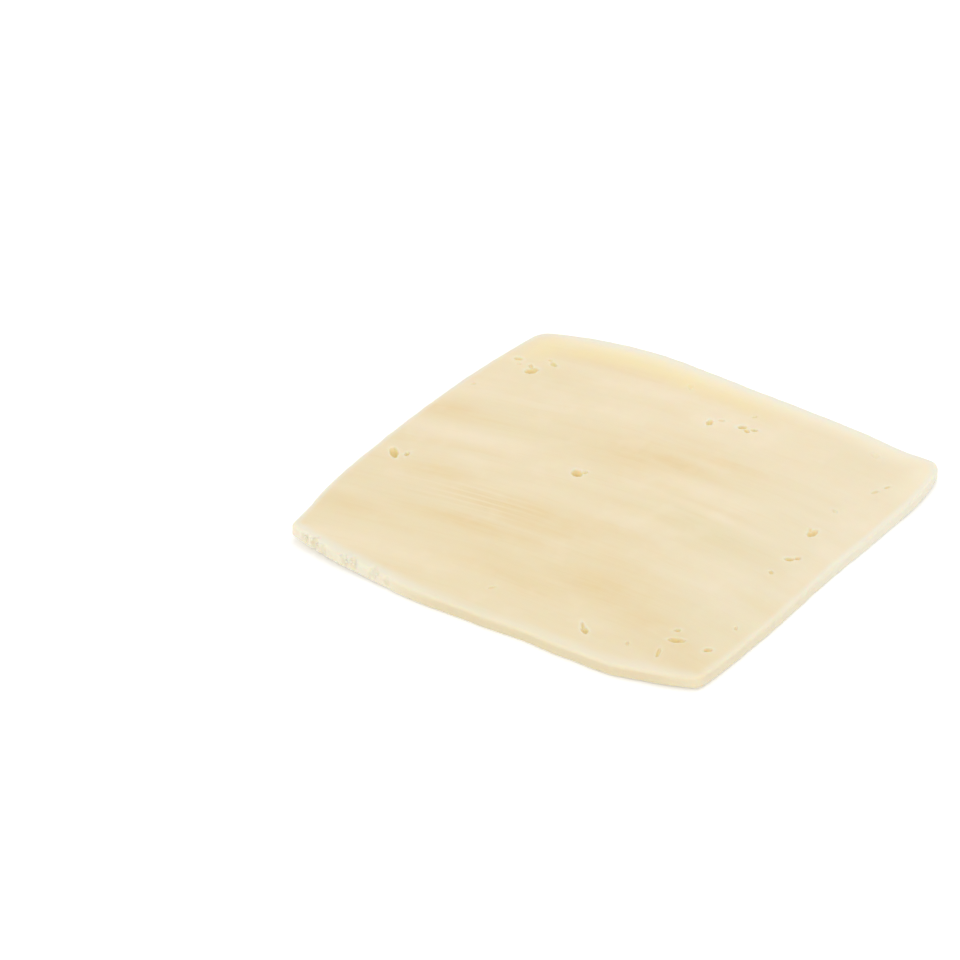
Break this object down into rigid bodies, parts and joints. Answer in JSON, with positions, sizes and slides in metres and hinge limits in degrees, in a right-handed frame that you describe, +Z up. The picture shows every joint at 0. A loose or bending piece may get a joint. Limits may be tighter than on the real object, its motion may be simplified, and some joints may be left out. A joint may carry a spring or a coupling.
{
  "type": "cheese slice",
  "caption": "Square slice of pale semi-soft cheese with bowed sides, rounded edges, slightly curled corners and small irregular eyes, lying flat.",
  "frame": {"origin": "middle of the slice's bounding box, at the height of the table it lies on", "axes": "+Z up through the thickness of the slice, +X along the faint streaks left by the slicer"},
  "size_m": [0.0942, 0.0948, 0.0039],
  "materials": {
    "cheese": "satin"
  },
  "bodies": {
    "root": {"cheese_slice": "cheese"}
  },
  "joints": []
}
